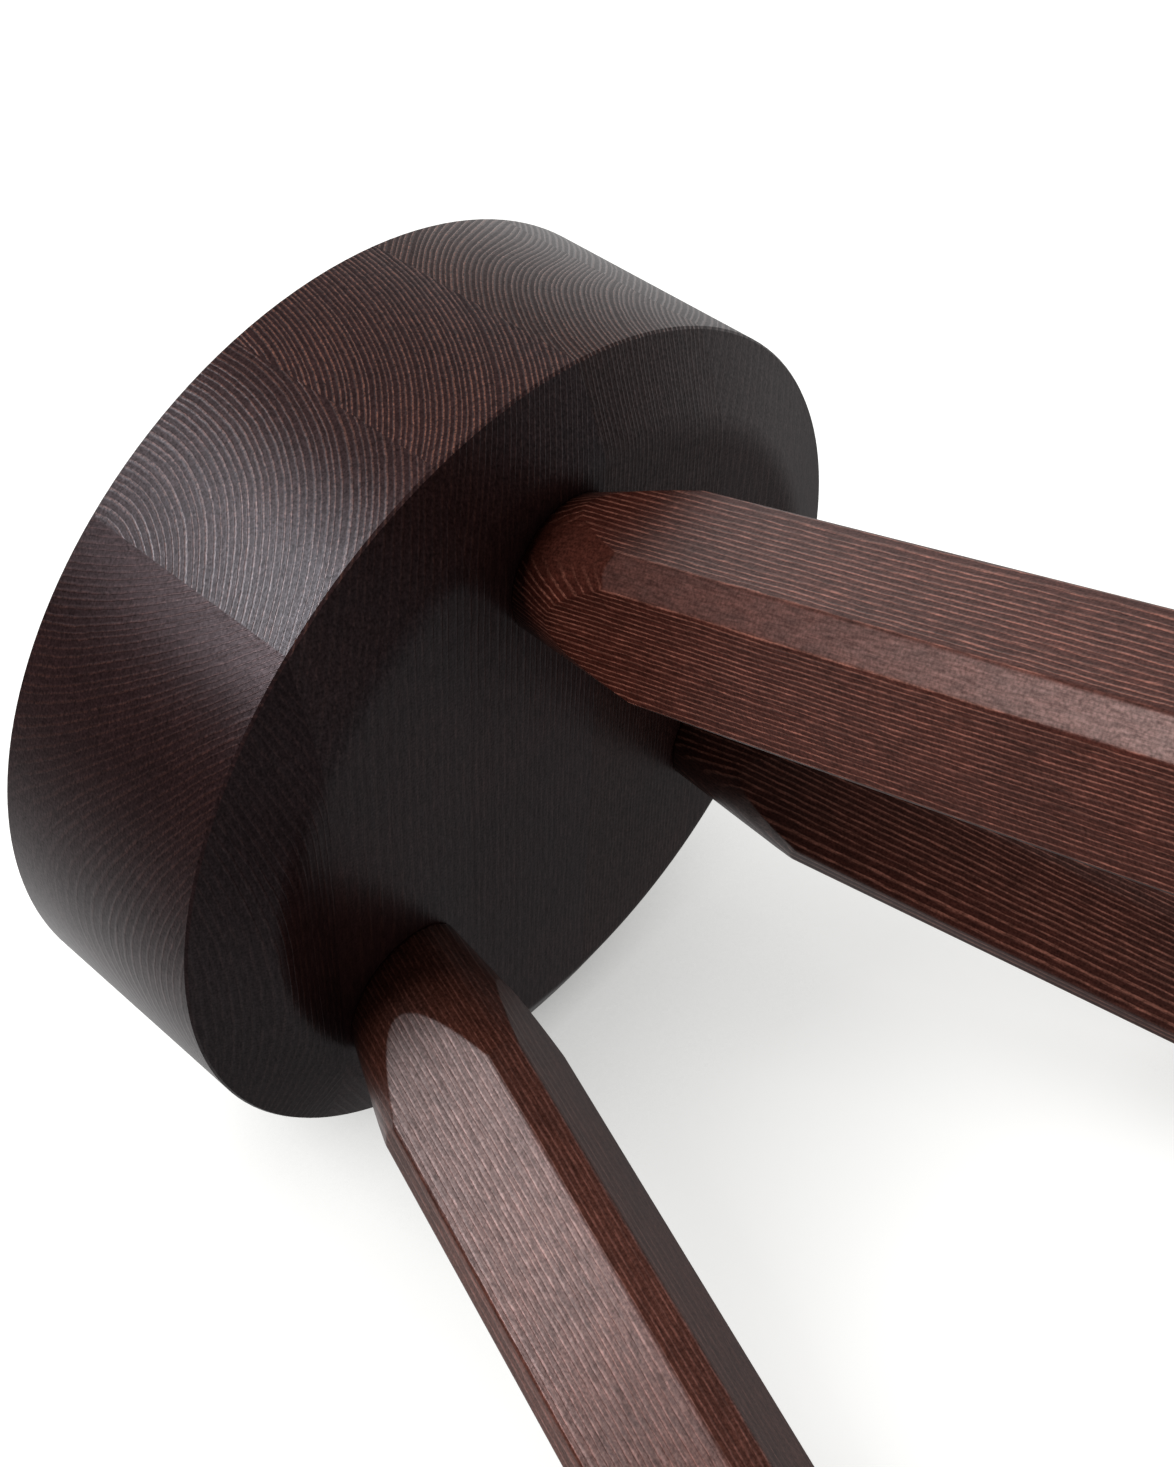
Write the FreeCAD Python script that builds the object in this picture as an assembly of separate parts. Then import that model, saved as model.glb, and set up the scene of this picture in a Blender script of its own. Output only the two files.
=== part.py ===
import FreeCAD, Part
import math
import os

# A low round stool with a thick glued-up softwood seat on three splayed legs.
# The seat axis and the three feet are the references; +Z is up and the feet rest on z = 0.

# Seat
SEAT_RADIUS = 175.0
SEAT_TOP_HEIGHT = 450.0
SEAT_SIDE_HEIGHT = 100.0
UNDERSIDE_BEVEL_HEIGHT = 15.0
UNDERSIDE_BEVEL_WIDTH = 33.0
TOP_ARRIS = 1.0
RIM_ARRIS = 0.8
BEVEL_BLEND_RADIUS = 25.0

# Equal boards glued edge to edge; the round outline keeps only a share of the two end boards
BOARD_COUNT = 6
END_BOARD_SHARES = (0.83, 0.39)
BOARD_ROW_ANGLE = 33.0

# Legs: square with chamfered corners, turned to a cone at the seat
LEG_NAMES = ("leg_front", "leg_back", "leg_left")
FIRST_LEG_ANGLE = -60.0
LEG_TURN_ANGLES = (2.8, -3.1, -3.2)
LEG_SPLAY_ANGLE = 19.1
LEG_INSET = 71.5
LEG_WIDTH_AT_SEAT = 62.4
LEG_WIDTH_AT_FOOT = 61.5
LEG_CHAMFER = 9.2
LEG_EDGE_RADIUS = 2.5
FOOT_ARRIS = 1.5
CONE_END_RADIUS = 26.6
CONE_HALF_ANGLE = 11.5
SHOULDER_ARRIS = 0.8

# Round tenons in blind mortises
TENON_RADIUS = 16.0
TENON_LENGTH = 60.0
TENON_CHAMFER = 2.0
GLUE_CLEARANCE = 0.1
MORTISE_RELIEF = 2.0

# How far a cutting shape stands past the piece it cuts
OVERRUN = 40.0

UNDERSIDE_HEIGHT = SEAT_TOP_HEIGHT - SEAT_SIDE_HEIGHT - UNDERSIDE_BEVEL_HEIGHT
RIM_HEIGHT = SEAT_TOP_HEIGHT - SEAT_SIDE_HEIGHT
UNDERSIDE_RADIUS = SEAT_RADIUS - UNDERSIDE_BEVEL_WIDTH
BOARD_WIDTH = 2 * SEAT_RADIUS / (BOARD_COUNT - 2 + sum(END_BOARD_SHARES))
FIRST_JOINT = BOARD_WIDTH * END_BOARD_SHARES[0] - SEAT_RADIUS
MORTISE_RADIUS = TENON_RADIUS + GLUE_CLEARANCE
LEG_AXIS_RADIUS = SEAT_RADIUS - LEG_INSET
SPLAY = math.radians(LEG_SPLAY_ANGLE)
LEG_LENGTH = UNDERSIDE_HEIGHT / math.cos(SPLAY)
FOOT_RADIUS = LEG_AXIS_RADIUS + UNDERSIDE_HEIGHT * math.tan(SPLAY)
FOOT_REACH = FOOT_RADIUS + LEG_WIDTH_AT_FOOT / 2 / math.cos(SPLAY)

# The left foot reaches past the seat, so the seat axis stands off the middle of the footprint
SEAT_AXIS_X = (FOOT_REACH - SEAT_RADIUS) / 2

UP = FreeCAD.Vector(0, 0, 1)
ACROSS = FreeCAD.Vector(0, 1, 0)
ORIGIN = FreeCAD.Vector(0, 0, 0)
SEAT_AXIS = FreeCAD.Vector(SEAT_AXIS_X, 0, 0)


def rounded_outline(corners, radii):
    """Closed wire through the corners, each rounded by its own radius; zero leaves it sharp."""
    starts = []
    ends = []
    middles = []
    count = len(corners)
    for index, corner in enumerate(corners):
        back = (corners[index - 1] - corner).normalize()
        ahead = (corners[(index + 1) % count] - corner).normalize()
        half_angle = back.getAngle(ahead) / 2
        trim = radii[index] / math.tan(half_angle)
        reach = radii[index] / math.sin(half_angle) - radii[index]
        starts.append(corner + back * trim)
        ends.append(corner + ahead * trim)
        middles.append(corner + (back + ahead).normalize() * reach)
    edges = []
    for index in range(count):
        if radii[index] > 0:
            edges.append(Part.Arc(starts[index], middles[index], ends[index]).toShape())
        edges.append(Part.makeLine(ends[index], starts[(index + 1) % count]))
    return Part.Wire(edges)


def seat_blank():
    """The whole glued-up seat: straight side, wide bevel under the rim and flat underside."""
    slope = math.atan2(UNDERSIDE_BEVEL_HEIGHT, UNDERSIDE_BEVEL_WIDTH)
    arris_in = RIM_ARRIS * math.cos(slope)
    arris_down = RIM_ARRIS * math.sin(slope)
    corners = [
        FreeCAD.Vector(0, 0, UNDERSIDE_HEIGHT),
        FreeCAD.Vector(UNDERSIDE_RADIUS, 0, UNDERSIDE_HEIGHT),
        FreeCAD.Vector(SEAT_RADIUS - arris_in, 0, RIM_HEIGHT - arris_down),
        FreeCAD.Vector(SEAT_RADIUS, 0, RIM_HEIGHT + RIM_ARRIS),
        FreeCAD.Vector(SEAT_RADIUS, 0, SEAT_TOP_HEIGHT - TOP_ARRIS),
        FreeCAD.Vector(SEAT_RADIUS - TOP_ARRIS, 0, SEAT_TOP_HEIGHT),
        FreeCAD.Vector(0, 0, SEAT_TOP_HEIGHT),
    ]
    radii = [0, BEVEL_BLEND_RADIUS, 0, 0, 0, 0, 0]
    profile = Part.Face(rounded_outline(corners, radii))
    return profile.revolve(ORIGIN, UP, 360)


def place_leg_shape(shape, number):
    """Lean an upright shape outward about its seat end and carry it round to the leg's place."""
    shape.rotate(ORIGIN, UP, LEG_TURN_ANGLES[number])
    shape.rotate(ORIGIN, ACROSS, -LEG_SPLAY_ANGLE)
    shape.translate(FreeCAD.Vector(LEG_AXIS_RADIUS, 0, UNDERSIDE_HEIGHT))
    shape.rotate(ORIGIN, UP, FIRST_LEG_ANGLE + 360 / len(LEG_NAMES) * number)
    return shape


def leg_section(height):
    """Chamfered square across the leg, at a height along its axis from the seat end."""
    share = -height / LEG_LENGTH
    half = (LEG_WIDTH_AT_SEAT + (LEG_WIDTH_AT_FOOT - LEG_WIDTH_AT_SEAT) * share) / 2
    short = half - LEG_CHAMFER
    corners = []
    for quarter in range(4):
        turn = FreeCAD.Rotation(UP, 90 * quarter)
        corners.append(turn.multVec(FreeCAD.Vector(half, -short, height)))
        corners.append(turn.multVec(FreeCAD.Vector(half, short, height)))
    return rounded_outline(corners, [LEG_EDGE_RADIUS] * len(corners))


def leg_bar():
    """The sawn bar, longer than the leg at both ends."""
    top = leg_section(OVERRUN)
    bottom = leg_section(-LEG_LENGTH - OVERRUN)
    return Part.makeLoft([bottom, top], True, True)


def leg_cone():
    """The turned cone that takes the corners off the seat end of the bar."""
    growth = math.tan(math.radians(CONE_HALF_ANGLE))
    low_radius = CONE_END_RADIUS + (LEG_LENGTH + OVERRUN) * growth
    high_radius = CONE_END_RADIUS - OVERRUN * growth
    base = FreeCAD.Vector(0, 0, -LEG_LENGTH - OVERRUN)
    return Part.makeCone(low_radius, high_radius, LEG_LENGTH + OVERRUN + OVERRUN, base, UP)


def tenon():
    """Round tenon with a chamfered end, rooted inside the leg."""
    root = FreeCAD.Vector(0, 0, -TENON_LENGTH / 2)
    straight = TENON_LENGTH - TENON_CHAMFER
    shaft = Part.makeCylinder(TENON_RADIUS, straight + TENON_LENGTH / 2, root, UP)
    end = FreeCAD.Vector(0, 0, straight)
    tip = Part.makeCone(TENON_RADIUS, TENON_RADIUS - TENON_CHAMFER, TENON_CHAMFER, end, UP)
    return shaft.fuse(tip)


def edges_at(body, height):
    """The edges that lie level at a height, all round an end face."""
    level = []
    for edge in body.Edges:
        box = edge.BoundBox
        if abs(box.ZMin - height) < GLUE_CLEARANCE and abs(box.ZMax - height) < GLUE_CLEARANCE:
            level.append(edge)
    return level


def leg(number):
    """One leg: coned and chamfered bar, shouldered on the underside, flat on the floor."""
    body = place_leg_shape(leg_bar().common(leg_cone()), number)
    body = body.common(Part.makeCylinder(FOOT_REACH + OVERRUN, UNDERSIDE_HEIGHT))
    body = body.makeChamfer(FOOT_ARRIS, edges_at(body, 0))
    body = body.makeChamfer(SHOULDER_ARRIS, edges_at(body, UNDERSIDE_HEIGHT))
    return body.fuse(place_leg_shape(tenon(), number)).removeSplitter()


def mortise(number):
    """The blind hole that takes a leg's tenon."""
    start = FreeCAD.Vector(0, 0, -OVERRUN)
    depth = TENON_LENGTH + MORTISE_RELIEF
    return place_leg_shape(Part.makeCylinder(MORTISE_RADIUS, depth + OVERRUN, start, UP), number)


def seat_boards():
    """The seat split along its glue joints, from one end board to the other."""
    blank = seat_blank()
    for number in range(len(LEG_NAMES)):
        blank = blank.cut(mortise(number))
    span = SEAT_RADIUS + OVERRUN
    joints = [FIRST_JOINT + BOARD_WIDTH * step for step in range(BOARD_COUNT - 1)]
    cuts = [-span] + joints + [span]
    boards = []
    for low, high in zip(cuts, cuts[1:]):
        corner = FreeCAD.Vector(low, -span, 0)
        slab = Part.makeBox(high - low, span + span, SEAT_TOP_HEIGHT + OVERRUN, corner)
        slab.rotate(ORIGIN, UP, BOARD_ROW_ANGLE)
        boards.append(blank.common(slab))
    return boards


def save(shape, name):
    """Carry a finished piece to the seat axis and write it."""
    solid = shape.Solids[0]
    solid.translate(SEAT_AXIS)
    solid.exportStep("parts/" + name + ".step")
    print(name, len(shape.Solids), round(solid.Volume), solid.isValid())


os.makedirs("parts", exist_ok=True)
for number, board in enumerate(seat_boards(), start=1):
    save(board, "seat_board_" + str(number))
for number, name in enumerate(LEG_NAMES):
    save(leg(number), name)
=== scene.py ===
import math

import bpy
from mathutils import Euler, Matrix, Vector

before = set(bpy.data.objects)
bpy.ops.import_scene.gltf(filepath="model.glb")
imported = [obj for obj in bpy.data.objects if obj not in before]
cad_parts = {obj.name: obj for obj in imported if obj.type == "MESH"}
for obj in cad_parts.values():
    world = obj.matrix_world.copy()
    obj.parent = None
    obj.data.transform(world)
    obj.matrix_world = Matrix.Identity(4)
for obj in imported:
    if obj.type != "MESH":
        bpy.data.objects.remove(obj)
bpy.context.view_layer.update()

# A low round stool of dark-stained, wire-brushed softwood, lying on its side on a pale floor.
# The stool is the CAD's own nine pieces; this script gives them their finish, floor and light.

MM = 0.001

# The stool's driving sizes, as in the CAD, in metres
SEAT_AXIS = Vector((0.03852, 0, 0))
SEAT_RADIUS = 0.175
RIM_HEIGHT = 0.35
UNDERSIDE_HEIGHT = 0.335
LEG_AXIS_RADIUS = 0.1035
LEG_SPLAY = math.radians(19.1)


def linear(hex_colour):
    """An sRGB hex colour as linear red, green, blue and alpha."""
    levels = [int(hex_colour[i : i + 2], 16) / 255 for i in (1, 3, 5)]
    linears = [v / 12.92 if v <= 0.04045 else ((v + 0.055) / 1.055) ** 2.4 for v in levels]
    return tuple(linears) + (1.0,)


def add(tree, kind, links=None, **settings):
    """Adds a node to a tree, with its settings, and links or sets its inputs by name or number."""
    node = tree.nodes.new(kind)
    for name, value in settings.items():
        setattr(node, name, value)
    for name, value in (links or {}).items():
        if isinstance(value, bpy.types.NodeSocket):
            tree.links.new(value, node.inputs[name])
        else:
            node.inputs[name].default_value = value
    return node


# Stained, wire-brushed softwood.
# Brushing takes out the soft spring wood, so the hard summer wood of every ring stands proud
# as a thin line, and the stain leaves that line paler than the ground between the lines.

# Patterns in the wood, as counts per metre across the grain, along it and across again
SWAYS = (28.0, 14.0, 28.0)  # slow bends of the rings, 36 mm by 71 mm
BLOTCHES = (330.0, 110.0, 330.0)  # uneven uptake of the stain, 3 mm by 9 mm
FIBRES = (1250.0, 140.0, 1250.0)  # 0.8 mm by 7 mm, coarser than real fibres so that they show
CLOUDS = 22.0  # soft patches of the stain, 45 mm
PORES = 1000.0  # specks 1 mm wide, coarser than real pores for the same reason

# How far the rings wander, in metres
SWAY_REACH = 1.8 * MM
BLOTCH_REACH = 0.6 * MM

# Good and bad years: spells of them per ring, and how many rings they shift the count by
SPELLS = 0.31
LUCK_REACH = 0.9

# One ring, as shares of its width from the spring wood on: where its pale line, its shine and
# its sharp end come in and where they are full. The weakest ring has WEAKEST of the full line.
PALE_LINE = (0.58, 0.8)
SHINY_LINE = (0.42, 0.68)
RING_END = (1.0, 0.9)
WEAKEST = 0.7

# Cosine of the angle between the way a face looks and the grain: long grain up to the first,
# end grain from the second on
END_GRAIN = (0.3, 0.95)

# Cosine of the angle between the way a face looks and the way outwards from the pith: the rings
# are whole below the second, and above the first only an even ground this pale is left of them
ALONG_RING = (0.985, 0.9)
EVEN_GROUND = 0.06

# How far the noises swing the stain's strength either way. A noise keeps near a half, so it has
# swung all the way at its low end, NOISE_LOW or PORE_LOW, and at one less that.
CLOUD_SWING, BLOTCH_SWING, PORE_SWING, FIBRE_SWING = 0.15, 0.2, 0.35, 0.28
NOISE_LOW, PORE_LOW = 0.3, 0.25

# How strong a line is where the brush caught on a fibre
CAUGHT = 1.5

# Painted shade where the seat shades the top of each leg: colour and sheen are darkened in the
# joint and lightened further down, out to this depth below it. The wood there has
# JOINT_SHADE_GAIN * share ** FADE of its brightness, where share runs from IN_JOINT in the joint to
# 1
JOINT_DEPTH = 150 * MM
JOINT_SHADE_GAIN = 1.1
FADE = 0.35
IN_JOINT = 0.01

# Height of the brushed relief, and how much of it the fibres make
RELIEF = 0.05 * MM
FIBRE_RELIEF = 0.4


def growth_rings(tree, timber, ring, knot):
    """Rings counted from the pith, with the way outwards and the blotches; ring is a width in mm.

    count = distance / ring + push * exp(-(distance from the knot / size) ** 2) / ring + luck
    """
    wide = add(tree, "ShaderNodeVectorMath", {0: timber, 1: SWAYS}, operation="MULTIPLY").outputs[0]
    drift = add(
        tree, "ShaderNodeTexNoise", {"Vector": wide, "Scale": 1.0, "Detail": 3.0, "Roughness": 0.55}
    ).outputs["Color"]
    centred = add(
        tree, "ShaderNodeVectorMath", {0: drift, 1: (0.5, 0.5, 0.5)}, operation="SUBTRACT"
    ).outputs[0]
    swayed = add(
        tree, "ShaderNodeVectorMath", {0: centred, 1: (SWAY_REACH, 0.0, SWAY_REACH), 2: timber},
        operation="MULTIPLY_ADD",
    ).outputs[0]
    small = add(
        tree, "ShaderNodeVectorMath", {0: timber, 1: BLOTCHES}, operation="MULTIPLY"
    ).outputs[0]
    blotch = add(
        tree, "ShaderNodeTexNoise", {"Vector": small, "Scale": 1.0, "Detail": 3.0, "Roughness": 0.6}
    )
    wobbled = add(
        tree, "ShaderNodeVectorMath",
        {0: blotch.outputs["Color"], 1: (BLOTCH_REACH, 0.0, BLOTCH_REACH), 2: swayed},
        operation="MULTIPLY_ADD",
    ).outputs[0]
    rings_per_metre = 1 / (ring * MM)
    flat = add(
        tree, "ShaderNodeVectorMath", {0: wobbled, 1: (rings_per_metre, 0.0, rings_per_metre)},
        operation="MULTIPLY",
    ).outputs[0]
    radius = add(tree, "ShaderNodeVectorMath", {0: flat}, operation="LENGTH").outputs["Value"]
    outward = add(tree, "ShaderNodeVectorMath", {0: flat}, operation="NORMALIZE").outputs[0]
    if knot:
        across, up, size, push = knot
        apart = add(
            tree, "ShaderNodeVectorMath", {0: timber, 1: (across * MM, 0.0, up * MM)},
            operation="SUBTRACT",
        ).outputs[0]
        level = add(
            tree, "ShaderNodeVectorMath", {0: apart, 1: (1 / (size * MM), 0.0, 1 / (size * MM))},
            operation="MULTIPLY",
        ).outputs[0]
        square = add(
            tree, "ShaderNodeVectorMath", {0: level, 1: level}, operation="DOT_PRODUCT"
        ).outputs["Value"]
        minus = add(tree, "ShaderNodeMath", {0: square, 1: -1.0}, operation="MULTIPLY").outputs[0]
        near = add(tree, "ShaderNodeMath", {0: minus}, operation="EXPONENT").outputs[0]
        radius = add(
            tree, "ShaderNodeMath", {0: near, 1: push / ring, 2: radius}, operation="MULTIPLY_ADD"
        ).outputs[0]
    years = add(tree, "ShaderNodeMath", {0: radius, 1: SPELLS}, operation="MULTIPLY").outputs[0]
    luck = add(
        tree, "ShaderNodeTexNoise", {"W": years, "Scale": 1.0, "Detail": 2.0, "Roughness": 0.6},
        noise_dimensions="1D",
    ).outputs["Fac"]
    count = add(
        tree, "ShaderNodeMath", {0: luck, 1: LUCK_REACH, 2: radius}, operation="MULTIPLY_ADD"
    ).outputs[0]
    return count, outward, blotch.outputs["Fac"]


def summer_wood(tree, count, outward, faced):
    """The pale ridge and the wider shine of each ring's summer wood.

    Both swell slowly through the ring and end sharply, some years stronger than others. Where the
    face lies along the rings they give way to an even ground.
    """
    part = add(tree, "ShaderNodeMath", {0: count}, operation="FRACT").outputs[0]
    swell, gloss, end = (
        add(
            tree, "ShaderNodeMapRange", {"Value": part, "From Min": start, "From Max": full},
            interpolation_type="SMOOTHSTEP",
        ).outputs[0]
        for start, full in (PALE_LINE, SHINY_LINE, RING_END)
    )
    number = add(tree, "ShaderNodeMath", {0: count}, operation="FLOOR").outputs[0]
    year = add(
        tree, "ShaderNodeTexWhiteNoise", {"W": number}, noise_dimensions="1D"
    ).outputs["Value"]
    strong = add(
        tree, "ShaderNodeMapRange", {"Value": year, "To Min": WEAKEST, "To Max": 1.0}
    ).outputs[0]
    hard = add(tree, "ShaderNodeMath", {0: end, 1: strong}, operation="MULTIPLY").outputs[0]
    ridge = add(tree, "ShaderNodeMath", {0: swell, 1: hard}, operation="MULTIPLY").outputs[0]
    shine = add(tree, "ShaderNodeMath", {0: gloss, 1: hard}, operation="MULTIPLY").outputs[0]

    facing = add(
        tree, "ShaderNodeVectorMath", {0: outward, 1: faced}, operation="DOT_PRODUCT"
    ).outputs["Value"]
    level_with = add(tree, "ShaderNodeMath", {0: facing}, operation="ABSOLUTE").outputs[0]
    cut = add(
        tree, "ShaderNodeMapRange",
        {"Value": level_with, "From Min": ALONG_RING[0], "From Max": ALONG_RING[1]},
        interpolation_type="SMOOTHSTEP",
    ).outputs[0]
    over = add(tree, "ShaderNodeMath", {0: ridge, 1: EVEN_GROUND}, operation="SUBTRACT").outputs[0]
    ridge = add(
        tree, "ShaderNodeMath", {0: over, 1: cut, 2: EVEN_GROUND}, operation="MULTIPLY_ADD"
    ).outputs[0]
    shine = add(tree, "ShaderNodeMath", {0: shine, 1: cut}, operation="MULTIPLY").outputs[0]
    return ridge, shine


def brushed_softwood(name, pith, grain, ring, shown, broken, colours, sheens, roughs,
                     edge=None, knot=None, joint=None):
    """Rings round a pith in metres, with grain as the turn of the Y axis.

    The ring's width, the softened edge and the knot (across and up from the pith, size, push) are
    in mm. shown says how strongly the rings show on long grain and on end grain, broken how much
    of a line is left between its fibres. colours are those of the ground, of the lines and of the
    sheen; sheens and roughs are the specular levels and the roughness of the ground and of the
    lines. joint is the height in metres of a joint below which painted shade darkens the wood,
    where the seat shades the top of the leg.
    """
    ground, line, film = colours
    material = bpy.data.materials.new(name)
    material.use_nodes = True
    tree = material.node_tree
    tree.nodes.clear()
    place = add(tree, "ShaderNodeTexCoord")
    timber = add(
        tree, "ShaderNodeMapping",
        {"Vector": place.outputs["Object"], "Location": pith, "Rotation": grain},
        vector_type="TEXTURE",
    ).outputs[0]
    faced = add(
        tree, "ShaderNodeMapping", {"Vector": place.outputs["Normal"], "Rotation": grain},
        vector_type="TEXTURE",
    ).outputs[0]
    count, outward, blotch = growth_rings(tree, timber, ring, knot)
    ridge, shine = summer_wood(tree, count, outward, faced)

    # How much of the face is end grain, where the rings show most
    along = add(tree, "ShaderNodeSeparateXYZ", {0: faced}).outputs["Y"]
    sawn = add(tree, "ShaderNodeMath", {0: along}, operation="ABSOLUTE").outputs[0]
    clear = add(
        tree, "ShaderNodeMapRange",
        {"Value": sawn, "From Min": END_GRAIN[0], "From Max": END_GRAIN[1],
         "To Min": shown[0], "To Max": shown[1]},
        interpolation_type="SMOOTHSTEP",
    ).outputs[0]

    # The brush leaves each line broken along its fibres
    fine = add(
        tree, "ShaderNodeVectorMath", {0: timber, 1: FIBRES}, operation="MULTIPLY"
    ).outputs[0]
    fibre = add(
        tree, "ShaderNodeTexNoise", {"Vector": fine, "Scale": 1.0, "Detail": 2.0, "Roughness": 0.6}
    ).outputs["Fac"]
    caught = add(
        tree, "ShaderNodeMapRange",
        {"Value": fibre, "From Min": NOISE_LOW, "From Max": 1 - NOISE_LOW,
         "To Min": broken, "To Max": CAUGHT},
    ).outputs[0]
    brushed = add(
        tree, "ShaderNodeMath", {0: ridge, 1: caught}, operation="MULTIPLY", use_clamp=True
    ).outputs[0]
    pale = add(tree, "ShaderNodeMath", {0: brushed, 1: clear}, operation="MULTIPLY").outputs[0]
    polished = add(tree, "ShaderNodeMath", {0: shine, 1: clear}, operation="MULTIPLY").outputs[0]

    # The stain lies in clouds, blotches, specks and fibres
    cloud = add(
        tree, "ShaderNodeTexNoise",
        {"Vector": timber, "Scale": CLOUDS, "Detail": 2.0, "Roughness": 0.55},
    ).outputs["Fac"]
    pores = add(
        tree, "ShaderNodeTexNoise",
        {"Vector": timber, "Scale": PORES, "Detail": 1.0, "Roughness": 0.5},
    ).outputs["Fac"]
    patch, uptake, dust, speck = (
        add(
            tree, "ShaderNodeMapRange",
            {"Value": noise, "From Min": low, "From Max": 1 - low,
             "To Min": 1 - swing, "To Max": 1 + swing},
        ).outputs[0]
        for noise, low, swing in (
            (cloud, NOISE_LOW, CLOUD_SWING), (blotch, NOISE_LOW, BLOTCH_SWING),
            (pores, PORE_LOW, PORE_SWING), (fibre, NOISE_LOW, FIBRE_SWING),
        )
    )
    dust_and_joint_shade = add(tree, "ShaderNodeMath", {0: dust, 1: speck}, operation="MULTIPLY").outputs[0]
    drawn = add(tree, "ShaderNodeMath", {0: patch, 1: dust_and_joint_shade}, operation="MULTIPLY").outputs[0]
    strength = add(tree, "ShaderNodeMath", {0: drawn, 1: uptake}, operation="MULTIPLY").outputs[0]
    # Painted shade: below the joint, where the seat shades the leg, the colour and the sheen are
    # darkened, and further down they are lightened by up to JOINT_SHADE_GAIN
    if joint:
        level = add(tree, "ShaderNodeSeparateXYZ", {0: place.outputs["Object"]}).outputs["Z"]
        below = add(
            tree, "ShaderNodeMapRange",
            {"Value": level, "From Min": joint, "From Max": joint - JOINT_DEPTH,
             "To Min": IN_JOINT},
        ).outputs[0]
        root = add(tree, "ShaderNodeMath", {0: below, 1: FADE}, operation="POWER").outputs[0]
        joint_shade = add(
            tree, "ShaderNodeMath", {0: root, 1: JOINT_SHADE_GAIN}, operation="MULTIPLY"
        ).outputs[0]
        strength, dust_and_joint_shade = (
            add(tree, "ShaderNodeMath", {0: even, 1: joint_shade}, operation="MULTIPLY").outputs[0]
            for even in (strength, dust_and_joint_shade)
        )
    stained = add(
        tree, "ShaderNodeMix", {0: pale, 6: linear(ground), 7: linear(line)}, data_type="RGBA"
    ).outputs[2]
    colour = add(
        tree, "ShaderNodeVectorMath", {0: stained, "Scale": strength}, operation="SCALE"
    ).outputs[0]

    # Brushed-out spring wood is open and dull, the dense summer wood takes the sheen
    sheen = add(
        tree, "ShaderNodeMapRange", {"Value": polished, "To Min": sheens[0], "To Max": sheens[1]}
    ).outputs[0]
    sheen_with_specks_and_shade = add(tree, "ShaderNodeMath", {0: sheen, 1: dust_and_joint_shade}, operation="MULTIPLY").outputs[0]
    rough = add(
        tree, "ShaderNodeMapRange", {"Value": polished, "To Min": roughs[0], "To Max": roughs[1]}
    ).outputs[0]
    grooves = add(
        tree, "ShaderNodeMath", {0: fibre, 1: FIBRE_RELIEF, 2: ridge}, operation="MULTIPLY_ADD"
    ).outputs[0]
    relief = add(tree, "ShaderNodeBump", {"Strength": 1.0, "Distance": RELIEF, "Height": grooves})
    if edge:
        softened = add(tree, "ShaderNodeBevel", {"Radius": edge * MM}, samples=6).outputs[0]
        tree.links.new(softened, relief.inputs["Normal"])
    wood = add(
        tree, "ShaderNodeBsdfPrincipled",
        {"Base Color": colour, "Roughness": rough, "Specular IOR Level": sheen_with_specks_and_shade,
         "Specular Tint": linear(film), "IOR": 1.5, "Normal": relief.outputs[0]},
    ).outputs[0]
    add(tree, "ShaderNodeOutputMaterial", {"Surface": wood})
    return material


# The seat's boards lie in a row along azimuth 33 degrees, with their grain along azimuth 123.
# Each board's pith: distance along the row and height in mm, how it leans along the grain,
# and the width of its rings in mm.
BOARD_ROW = math.radians(33)
BOARD_PITHS = {
    "seat_board_1": (48, 492, 0.03, 1.8),
    "seat_board_2": (-152, 443, 0, 2.4),
    "seat_board_3": (-134, 464, 0, 2.0),
    "seat_board_4": (128, 313.5, 0, 2.05),
    "seat_board_5": (-70, 595, 0, 2.3),
    "seat_board_6": (60, 300, 0, 2.1),
}
# A knot near the edge of one board: across and up from the pith, its size, and how far it pushes
# the rings, in mm.
BOARD_KNOTS = {"seat_board_4": (-56, 107, 24, 8.3)}
# Each board's finish, because no two boards take a stain alike: how strongly its rings show on
# end grain, the colours of its ground and its sheen, and the sheens of its ground and lines.
BOARD_FINISHES = {
    "seat_board_1": (0.15, "#1c0f0f", "#f0dde6", (0.215, 1.1)),
    "seat_board_2": (0.48, "#271615", "#f0f4ff", (0.21, 0.88)),
    "seat_board_3": (0.9, "#281716", "#f0f4ff", (0.18, 0.97)),
    "seat_board_4": (0.85, "#281614", "#f8eff2", (0.175, 1.0)),
    "seat_board_5": (0.7, "#261514", "#f8eff2", (0.18, 1.0)),
    "seat_board_6": (0.7, "#261514", "#f8eff2", (0.18, 1.0)),
}
# What all the boards share: the colour of the lines, how strongly the rings show on long grain,
# how much of a line is left between its fibres, and the roughness of ground and lines.
BOARD_LINE = "#623a2a"
BOARD_LONG_GRAIN = 0.08
BOARD_BROKEN = 0.1
BOARD_ROUGHS = (0.3, 0.26)
row_way = Vector((math.cos(BOARD_ROW), math.sin(BOARD_ROW), 0))
for name, (along, height, lean, ring) in BOARD_PITHS.items():
    end_grain, ground, film, sheens = BOARD_FINISHES[name]
    pith = SEAT_AXIS + row_way * along * MM + Vector((0, 0, height * MM))
    grain = Euler((0, 0, BOARD_ROW - math.atan(lean)))
    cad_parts[name].material_slots[0].material = brushed_softwood(
        "brushed_" + name, pith, grain, ring, (BOARD_LONG_GRAIN, end_grain), BOARD_BROKEN,
        (ground, BOARD_LINE, film), sheens, BOARD_ROUGHS, knot=BOARD_KNOTS.get(name),
    )

# The legs' grain runs along them, and each pith lies outside its leg: azimuth of the leg, direction
# of the pith round the leg's axis from its outward side, distance from that axis in mm, ring in mm.
LEG_PITHS = {
    "leg_front": (-60, 146.3, 200.75, 1.5),
    "leg_back": (60, 148.2, 85.5, 2.05),
    "leg_left": (180, 193.8, 250, 2.2),
}
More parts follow.
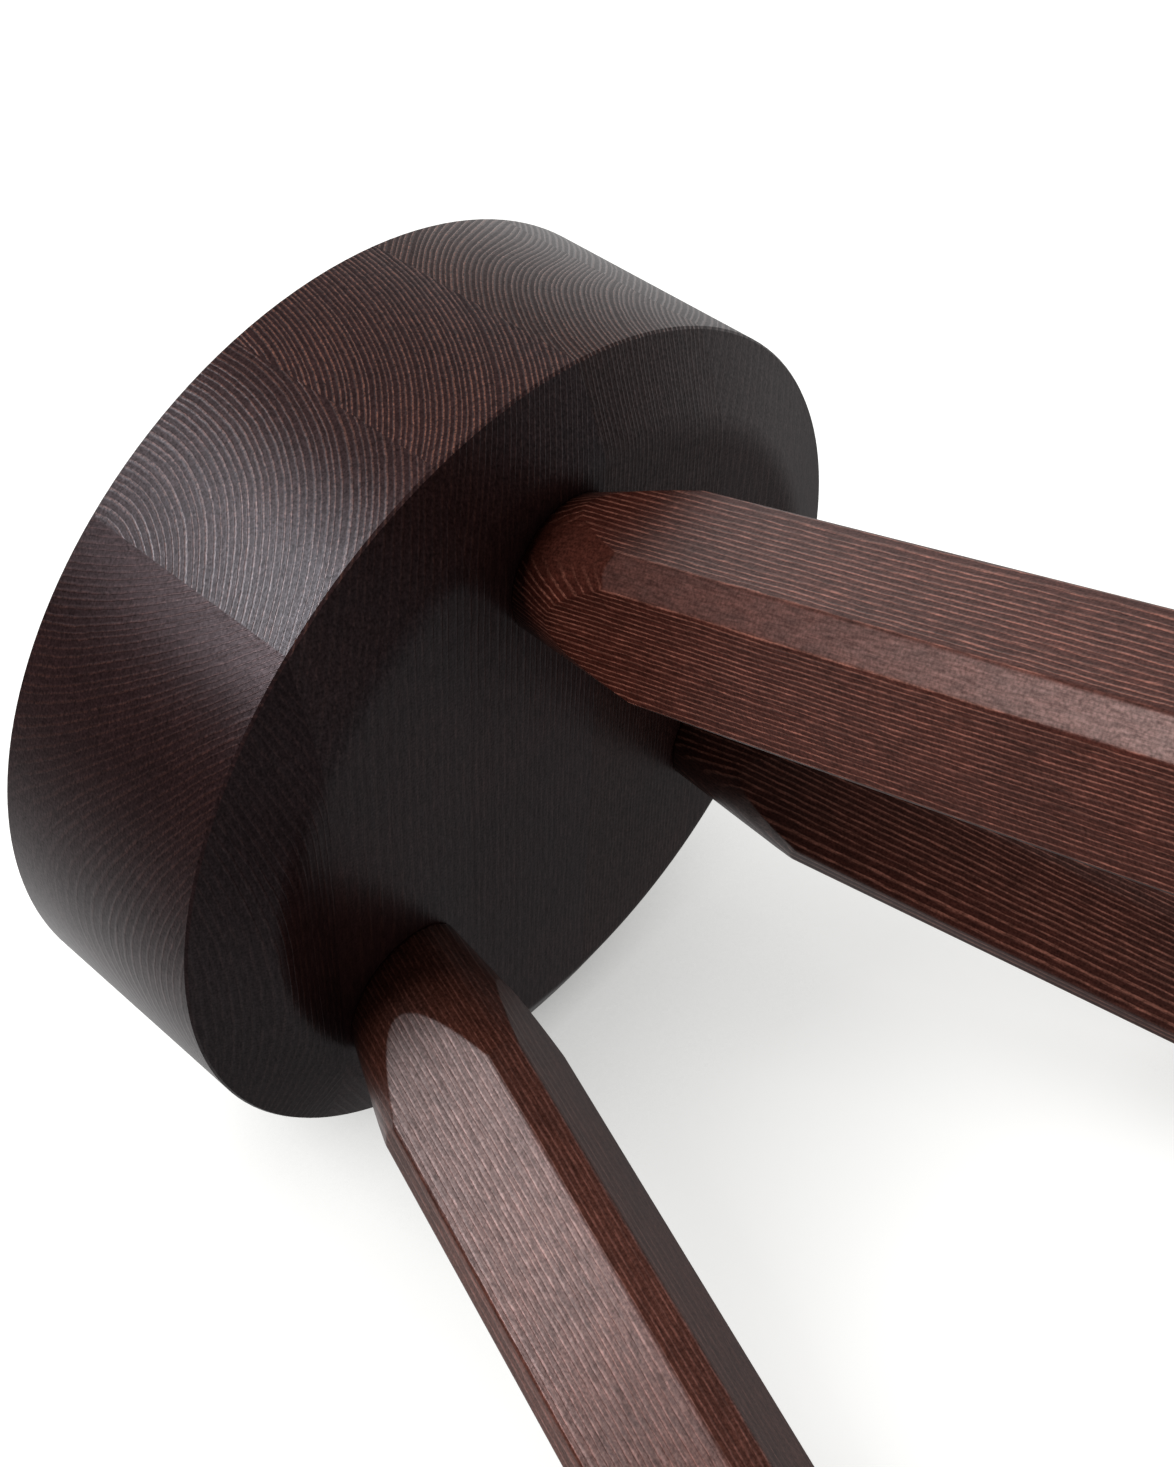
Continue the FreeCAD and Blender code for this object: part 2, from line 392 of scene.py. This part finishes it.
# Each leg's finish: how strongly its rings show, and the colours of ground, lines and sheen.
LEG_FINISHES = {
    "leg_front": (0.85, "#3a1811", "#7c4d40", "#ffe6e0"),
    "leg_back": (1.0, "#3a1811", "#7c4d40", "#ffe6e0"),
    "leg_left": (0.65, "#49271e", "#73473d", "#fff0f0"),
}
# What all the legs share, with the softened edge in mm.
LEG_BROKEN = 0.5
LEG_SHEENS = (0.32, 0.5)
LEG_ROUGHS = (0.36, 0.28)
LEG_EDGE = 1.5
for name, (azimuth, way, distance, ring) in LEG_PITHS.items():
    shown, ground, line, film = LEG_FINISHES[name]
    round_by = Euler((0, 0, math.radians(azimuth))).to_matrix()
    turn = round_by @ Euler((0, -LEG_SPLAY, 0)).to_matrix()
    leg_place = round_by @ Vector((LEG_AXIS_RADIUS, 0, 0))
    seat_end = SEAT_AXIS + Vector((0, 0, UNDERSIDE_HEIGHT)) + leg_place
    pith_way = Vector((math.cos(math.radians(way)), math.sin(math.radians(way)), 0))
    pith = seat_end + turn @ pith_way * distance * MM
    # Y of the pattern along the leg's own axis
    upright = turn @ Euler((math.radians(90), 0, 0)).to_matrix()
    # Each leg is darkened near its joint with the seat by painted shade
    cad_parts[name].material_slots[0].material = brushed_softwood(
        "brushed_" + name, pith, upright.to_euler(), ring, (shown, shown), LEG_BROKEN,
        (ground, line, film), LEG_SHEENS, LEG_ROUGHS, edge=LEG_EDGE, joint=UNDERSIDE_HEIGHT,
    )


# The floor: the stool lies on the rim of its seat and on the corners of two feet,
# so the floor leans by 4.7 degrees from the seat axis.
FLOOR_UP = Vector((0.49835, -0.86317, 0.08116))
TOUCH_AZIMUTH = math.radians(120)
RIM_TOUCH = SEAT_AXIS + Vector(
    (SEAT_RADIUS * math.cos(TOUCH_AZIMUTH), SEAT_RADIUS * math.sin(TOUCH_AZIMUTH), RIM_HEIGHT)
)
FLOOR_GAP = 0.4 * MM
FLOOR_REACH = 6.0

# A sheet of matt white paper that also glows white: it has no sheen, and its glow is painted shade,
# dimmer where the stool hides the sky, so the stool's soft shadow on it is partly real from the
# lamps and partly painted. Each point counts how much of the sky within SKY_REACH is open, and its
# glow falls slowly from FAR_SKY of it down to NEAR_SKY, and faster below that.
SKY_REACH = 0.2
NEAR_SKY, NEAR_GLOW = 0.5, (0.2, 0.7)
FAR_SKY, FAR_GLOW = 0.95, 0.27
PAPER, PAPER_GLOW = "#959594", "#fffffd"


def plain_floor():
    """A wide flat sheet under the seat's rim, square to FLOOR_UP, seen only from its upper side."""
    side = FLOOR_UP.orthogonal().normalized()
    other = FLOOR_UP.cross(side)
    middle = RIM_TOUCH - FLOOR_UP * FLOOR_GAP
    quarters = ((-1, -1), (1, -1), (1, 1), (-1, 1))
    corners = [middle + side * FLOOR_REACH * a + other * FLOOR_REACH * b for a, b in quarters]
    mesh = bpy.data.meshes.new("floor")
    mesh.from_pydata([tuple(c) for c in corners], [], [(0, 1, 2, 3)])
    if mesh.polygons[0].normal.dot(FLOOR_UP) < 0:
        mesh.flip_normals()
    sheet = bpy.data.objects.new("floor", mesh)
    bpy.context.scene.collection.objects.link(sheet)
    material = bpy.data.materials.new("glowing_floor_painted_shadow")
    material.use_nodes = True
    tree = material.node_tree
    tree.nodes.clear()
    # Painted shadow: the glow is dimmed where the stool hides the sky
    open_sky = add(
        tree, "ShaderNodeAmbientOcclusion", {"Distance": SKY_REACH}, samples=12
    ).outputs["AO"]
    near = add(
        tree, "ShaderNodeMapRange",
        {"Value": open_sky, "From Max": NEAR_SKY, "To Min": NEAR_GLOW[0], "To Max": NEAR_GLOW[1]},
    ).outputs[0]
    far = add(
        tree, "ShaderNodeMapRange",
        {"Value": open_sky, "From Min": NEAR_SKY, "From Max": FAR_SKY, "To Max": FAR_GLOW},
    ).outputs[0]
    shade = add(tree, "ShaderNodeMath", {0: near, 1: far}, operation="ADD").outputs[0]
    matt = add(tree, "ShaderNodeBsdfDiffuse", {"Color": linear(PAPER)}).outputs[0]
    glow = add(
        tree, "ShaderNodeEmission", {"Color": linear(PAPER_GLOW), "Strength": shade}
    ).outputs[0]
    paper_and_glow = add(tree, "ShaderNodeAddShader", {0: matt, 1: glow}).outputs[0]
    clear = add(tree, "ShaderNodeBsdfTransparent").outputs[0]
    behind = add(tree, "ShaderNodeNewGeometry").outputs["Backfacing"]
    seen = add(tree, "ShaderNodeMixShader", {0: behind, 1: paper_and_glow, 2: clear}).outputs[0]
    add(tree, "ShaderNodeOutputMaterial", {"Surface": seen})
    sheet.data.materials.append(material)
    # The weak walls under the floor line light the stool through it, as light off the floor does
    sheet.visible_diffuse = False
    sheet.visible_glossy = False
    sheet.visible_shadow = False


plain_floor()

# The camera, at the photograph's own place and lens. Lengths on the photograph are in its
# pixels, the sensor's in mm, the camera's place in metres and its turn in degrees.
PHOTO_WIDTH, PHOTO_HEIGHT = 1174, 1467
FOCAL_LENGTH = 2156.9
LENS_CENTRE = (569.4, 585.8)
SENSOR = 36.0
CAMERA_PLACE = (0.0126663, -0.7438609, -0.0404424)
CAMERA_TURN = (135.9708, 47.1419, 30.8002)
camera = bpy.data.objects.new("camera", bpy.data.cameras.new("camera"))
bpy.context.scene.collection.objects.link(camera)
camera.location = CAMERA_PLACE
camera.rotation_euler = [math.radians(a) for a in CAMERA_TURN]
camera.data.sensor_width = SENSOR
camera.data.lens = SENSOR * FOCAL_LENGTH / PHOTO_HEIGHT
camera.data.shift_x = (PHOTO_WIDTH / 2 - LENS_CENTRE[0]) / PHOTO_HEIGHT
camera.data.shift_y = (LENS_CENTRE[1] - PHOTO_HEIGHT / 2) / PHOTO_HEIGHT
camera.data.clip_start = 10 * MM
bpy.context.scene.camera = camera

# Studio light. Directions are over the floor: height above it, and the way round from the
# camera's side. The lights face a point just under the seat.
AIM_HEIGHT = 0.33
to_camera = camera.rotation_euler.to_matrix() @ Vector((0, 0, 1))
ahead = (to_camera - FLOOR_UP * to_camera.dot(FLOOR_UP)).normalized()
right = FLOOR_UP.cross(ahead)
MIDDLE = SEAT_AXIS + Vector((0, 0, AIM_HEIGHT))


def studio_point(height, round_by, distance):
    """A point round the stool: degrees above the floor, and to the right of the camera's side."""
    up, way = math.radians(height), math.radians(round_by)
    level = ahead * math.cos(way) + right * math.sin(way)
    return MIDDLE + (level * math.cos(up) + FLOOR_UP * math.sin(up)) * distance


def soft_box(name, height, round_by, distance, width, depth, power):
    """A white rectangular area light, in metres and watts, that faces the stool."""
    data = bpy.data.lights.new(name, "AREA")
    data.shape = "RECTANGLE"
    data.size = width
    data.size_y = depth
    data.energy = power
    lamp = bpy.data.objects.new(name, data)
    bpy.context.scene.collection.objects.link(lamp)
    lamp.location = studio_point(height, round_by, distance)
    lamp.rotation_euler = (lamp.location - MIDDLE).to_track_quat("Z", "Y").to_euler()
    lamp.visible_camera = False


# Two soft boxes, high and to the left: name, height, way round, distance, width, depth and power
soft_box("key_light", 45.5, -75.5, 1.6, 0.85, 0.6, 26)
soft_box("side_light", 56, -104, 1.6, 0.45, 0.45, 2.6)

# The pale walls round the stool give broad soft light: height, way round and strength of each.
# One wall's light falls off as the WALL_SPREAD power of the cosine of the angle from its middle.
WALLS = (
    (0, -157, 1.85),
    (0, 112, 0.97),
    (0, 157, 0.26),
    (0, 22, 0.18),
    (0, -22, 0.24),
    (-40, -135, 0.8),
    (-40, -90, 0.3),
    (-40, 45, 0.3),
    (-40, 0, 0.3),
    (-40, 90, 0.15),
    (42, 0, 0.17),
    (42, 120, 0.08),
    (90, 0, 0.6),
)
WALL_SPREAD = 6.0
world = bpy.data.worlds.new("studio")
bpy.context.scene.world = world
world.use_nodes = True
tree = world.node_tree
tree.nodes.clear()
looked_at = add(tree, "ShaderNodeTexCoord").outputs["Generated"]
glow = 0.0
for height, round_by, strength in WALLS:
    towards = (studio_point(height, round_by, 1.0) - MIDDLE).normalized()
    near = add(
        tree, "ShaderNodeVectorMath", {0: looked_at, 1: towards}, operation="DOT_PRODUCT"
    ).outputs["Value"]
    front = add(tree, "ShaderNodeMath", {0: near, 1: 0.0}, operation="MAXIMUM").outputs[0]
    spread = add(tree, "ShaderNodeMath", {0: front, 1: WALL_SPREAD}, operation="POWER").outputs[0]
    glow = add(
        tree, "ShaderNodeMath", {0: spread, 1: strength, 2: glow}, operation="MULTIPLY_ADD"
    ).outputs[0]
# The camera itself sees plain white behind the stool
eye = add(tree, "ShaderNodeLightPath").outputs["Is Camera Ray"]
backdrop, walls = (
    add(tree, "ShaderNodeBackground", {"Color": linear("#ffffff"), "Strength": level}).outputs[0]
    for level in (1.0, glow)
)
room = add(tree, "ShaderNodeMixShader", {0: eye, 1: walls, 2: backdrop}).outputs[0]
add(tree, "ShaderNodeOutputWorld", {"Surface": room})

bpy.context.scene.view_settings.view_transform = "Standard"
